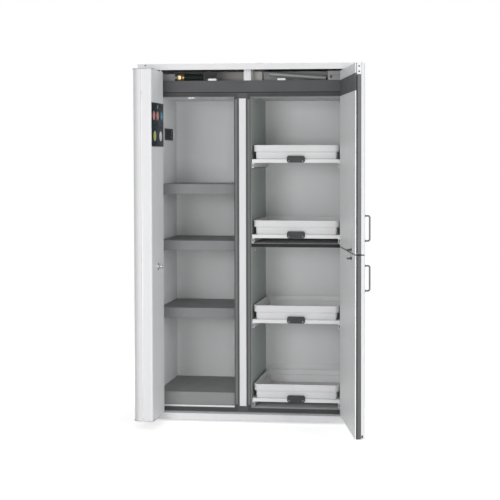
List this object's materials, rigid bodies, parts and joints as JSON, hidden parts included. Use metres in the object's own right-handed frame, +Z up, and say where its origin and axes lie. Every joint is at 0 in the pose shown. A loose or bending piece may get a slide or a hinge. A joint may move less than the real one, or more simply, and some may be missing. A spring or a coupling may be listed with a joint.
{
  "type": "ventilated cabinet",
  "caption": "Tall ventilated storage cabinet with a folding door over shelves and stacked wing doors over pull-out spill trays, closed by insulated doors.",
  "frame": {"origin": "centre of the body's footprint, on the floor", "axes": "+X to the right seen from the front, +Y to the back, +Z up; the doors open towards -Y"},
  "size_m": [1.32, 1.1767, 2.006],
  "materials": {
    "casing_paint": "fine textured light grey powder coat",
    "lining_paint": "satin light grey coat",
    "grille_paint": "dark grey satin coat",
    "wall_board": "melamine faced board with anthracite front edges",
    "door_core": "anthracite faced insulating board",
    "seal_rubber": "matt black",
    "shelf_paint": "mid grey powder coat",
    "foot_plastic": "matt black",
    "zinc_steel": "bright zinc plate",
    "dark_metal": "satin black",
    "handle_metal": "satin grey metal",
    "roller_plastic": "natural nylon",
    "frame_paint": "light grey powder coat",
    "tray_plastic": "moulded polyethylene, slightly waxy",
    "grip_plastic": "textured anthracite plastic"
  },
  "bodies": {
    "cabinet": {"left_side_panel": "casing_paint", "right_side_panel": "casing_paint", "roof_panel": "casing_paint", "base_panel": "casing_paint", "back_panel": "casing_paint", "floor_board": "wall_board", "ceiling_board": "wall_board", "left_wall_board": "wall_board", "right_wall_board": "wall_board", "back_wall_board": "wall_board", "partition_board": "wall_board", "compartment_divider": "wall_board", "partition_cover": "casing_paint", "front_seal": "seal_rubber", "left_wall_grille": "grille_paint", "exhaust_spigot": "casing_paint", "levelling_feet": "foot_plastic", "shelves": "shelf_paint", "shelf_supports": "shelf_paint", "sump_tray": "shelf_paint", "hinge_pins": "zinc_steel", "guide_track": "zinc_steel", "fixed_rails": "zinc_steel", "closer_cylinder": "dark_metal", "closer_links": "zinc_steel", "mechanism_brackets": "casing_paint"},
    "leaf_1": {"leaf_1_skin": "casing_paint", "leaf_1_core": "door_core", "leaf_1_lining": "lining_paint", "fold_hinge_outer": "casing_paint"},
    "leaf_2": {"leaf_2_skin": "casing_paint", "leaf_2_core": "door_core", "leaf_2_lining": "lining_paint", "fold_hinge_inner": "casing_paint", "guide_roller": "roller_plastic"},
    "lock": {"lock_knob": "handle_metal"},
    "upper_door": {"upper_door_skin": "casing_paint", "upper_door_core": "door_core", "upper_door_lining": "lining_paint", "upper_door_handle": "handle_metal"},
    "lower_door": {"lower_door_skin": "casing_paint", "lower_door_core": "door_core", "lower_door_lining": "lining_paint", "lower_door_handle": "handle_metal"},
    "drawer_1": {"drawer_1_frame": "frame_paint", "drawer_1_tray": "tray_plastic", "drawer_1_grip": "grip_plastic"},
    "mid_rails_1": {"drawer_1_mid_rails": "zinc_steel"},
    "drawer_2": {"drawer_2_frame": "frame_paint", "drawer_2_tray": "tray_plastic", "drawer_2_grip": "grip_plastic"},
    "mid_rails_2": {"drawer_2_mid_rails": "zinc_steel"},
    "drawer_3": {"drawer_3_frame": "frame_paint", "drawer_3_tray": "tray_plastic", "drawer_3_grip": "grip_plastic"},
    "mid_rails_3": {"drawer_3_mid_rails": "zinc_steel"},
    "drawer_4": {"drawer_4_frame": "frame_paint", "drawer_4_tray": "tray_plastic", "drawer_4_grip": "grip_plastic"},
    "mid_rails_4": {"drawer_4_mid_rails": "zinc_steel"}
  },
  "joints": [
    {"name": "leaf_1_swing", "type": "hinge", "parent": "cabinet", "child": "leaf_1", "pos_m": [-0.5555, -0.2965, 0.05], "axis": [0, 0, -1], "range_deg": [-90, 0]},
    {"name": "leaf_2_fold", "type": "hinge", "parent": "leaf_1", "child": "leaf_2", "pos_m": [-0.5145, -0.553, 0.05], "axis": [0, 0, -1], "range_deg": [0, 180]},
    {"name": "lock_turn", "type": "hinge", "parent": "leaf_2", "child": "lock", "pos_m": [-0.4615, -0.41825, 0.866], "axis": [1, 0, 0], "range_deg": [0, 90]},
    {"name": "upper_door_swing", "type": "hinge", "parent": "cabinet", "child": "upper_door", "pos_m": [0.5555, -0.2965, 0.973], "axis": [0, 0, 1], "range_deg": [-103, 0]},
    {"name": "lower_door_swing", "type": "hinge", "parent": "cabinet", "child": "lower_door", "pos_m": [0.5555, -0.2965, 0.973], "axis": [0, 0, 1], "range_deg": [-103, 0]},
    {"name": "drawer_1_slide", "type": "slide", "parent": "cabinet", "child": "drawer_1", "axis": [0, -1, 0], "range_m": [0, 0.4]},
    {"name": "mid_rails_1_slide", "type": "slide", "parent": "cabinet", "child": "mid_rails_1", "axis": [0, -1, 0], "range_m": [0, 0.2]},
    {"name": "drawer_2_slide", "type": "slide", "parent": "cabinet", "child": "drawer_2", "axis": [0, -1, 0], "range_m": [0, 0.4]},
    {"name": "mid_rails_2_slide", "type": "slide", "parent": "cabinet", "child": "mid_rails_2", "axis": [0, -1, 0], "range_m": [0, 0.2]},
    {"name": "drawer_3_slide", "type": "slide", "parent": "cabinet", "child": "drawer_3", "axis": [0, -1, 0], "range_m": [0, 0.4]},
    {"name": "mid_rails_3_slide", "type": "slide", "parent": "cabinet", "child": "mid_rails_3", "axis": [0, -1, 0], "range_m": [0, 0.2]},
    {"name": "drawer_4_slide", "type": "slide", "parent": "cabinet", "child": "drawer_4", "axis": [0, -1, 0], "range_m": [0, 0.4]},
    {"name": "mid_rails_4_slide", "type": "slide", "parent": "cabinet", "child": "mid_rails_4", "axis": [0, -1, 0], "range_m": [0, 0.2]}
  ],
  "couplings": [
    {"joint": "leaf_2_fold", "follows": "leaf_1_swing", "ratio": -2},
    {"joint": "mid_rails_1_slide", "follows": "drawer_1_slide", "ratio": 0.5},
    {"joint": "mid_rails_2_slide", "follows": "drawer_2_slide", "ratio": 0.5},
    {"joint": "mid_rails_3_slide", "follows": "drawer_3_slide", "ratio": 0.5},
    {"joint": "mid_rails_4_slide", "follows": "drawer_4_slide", "ratio": 0.5}
  ]
}
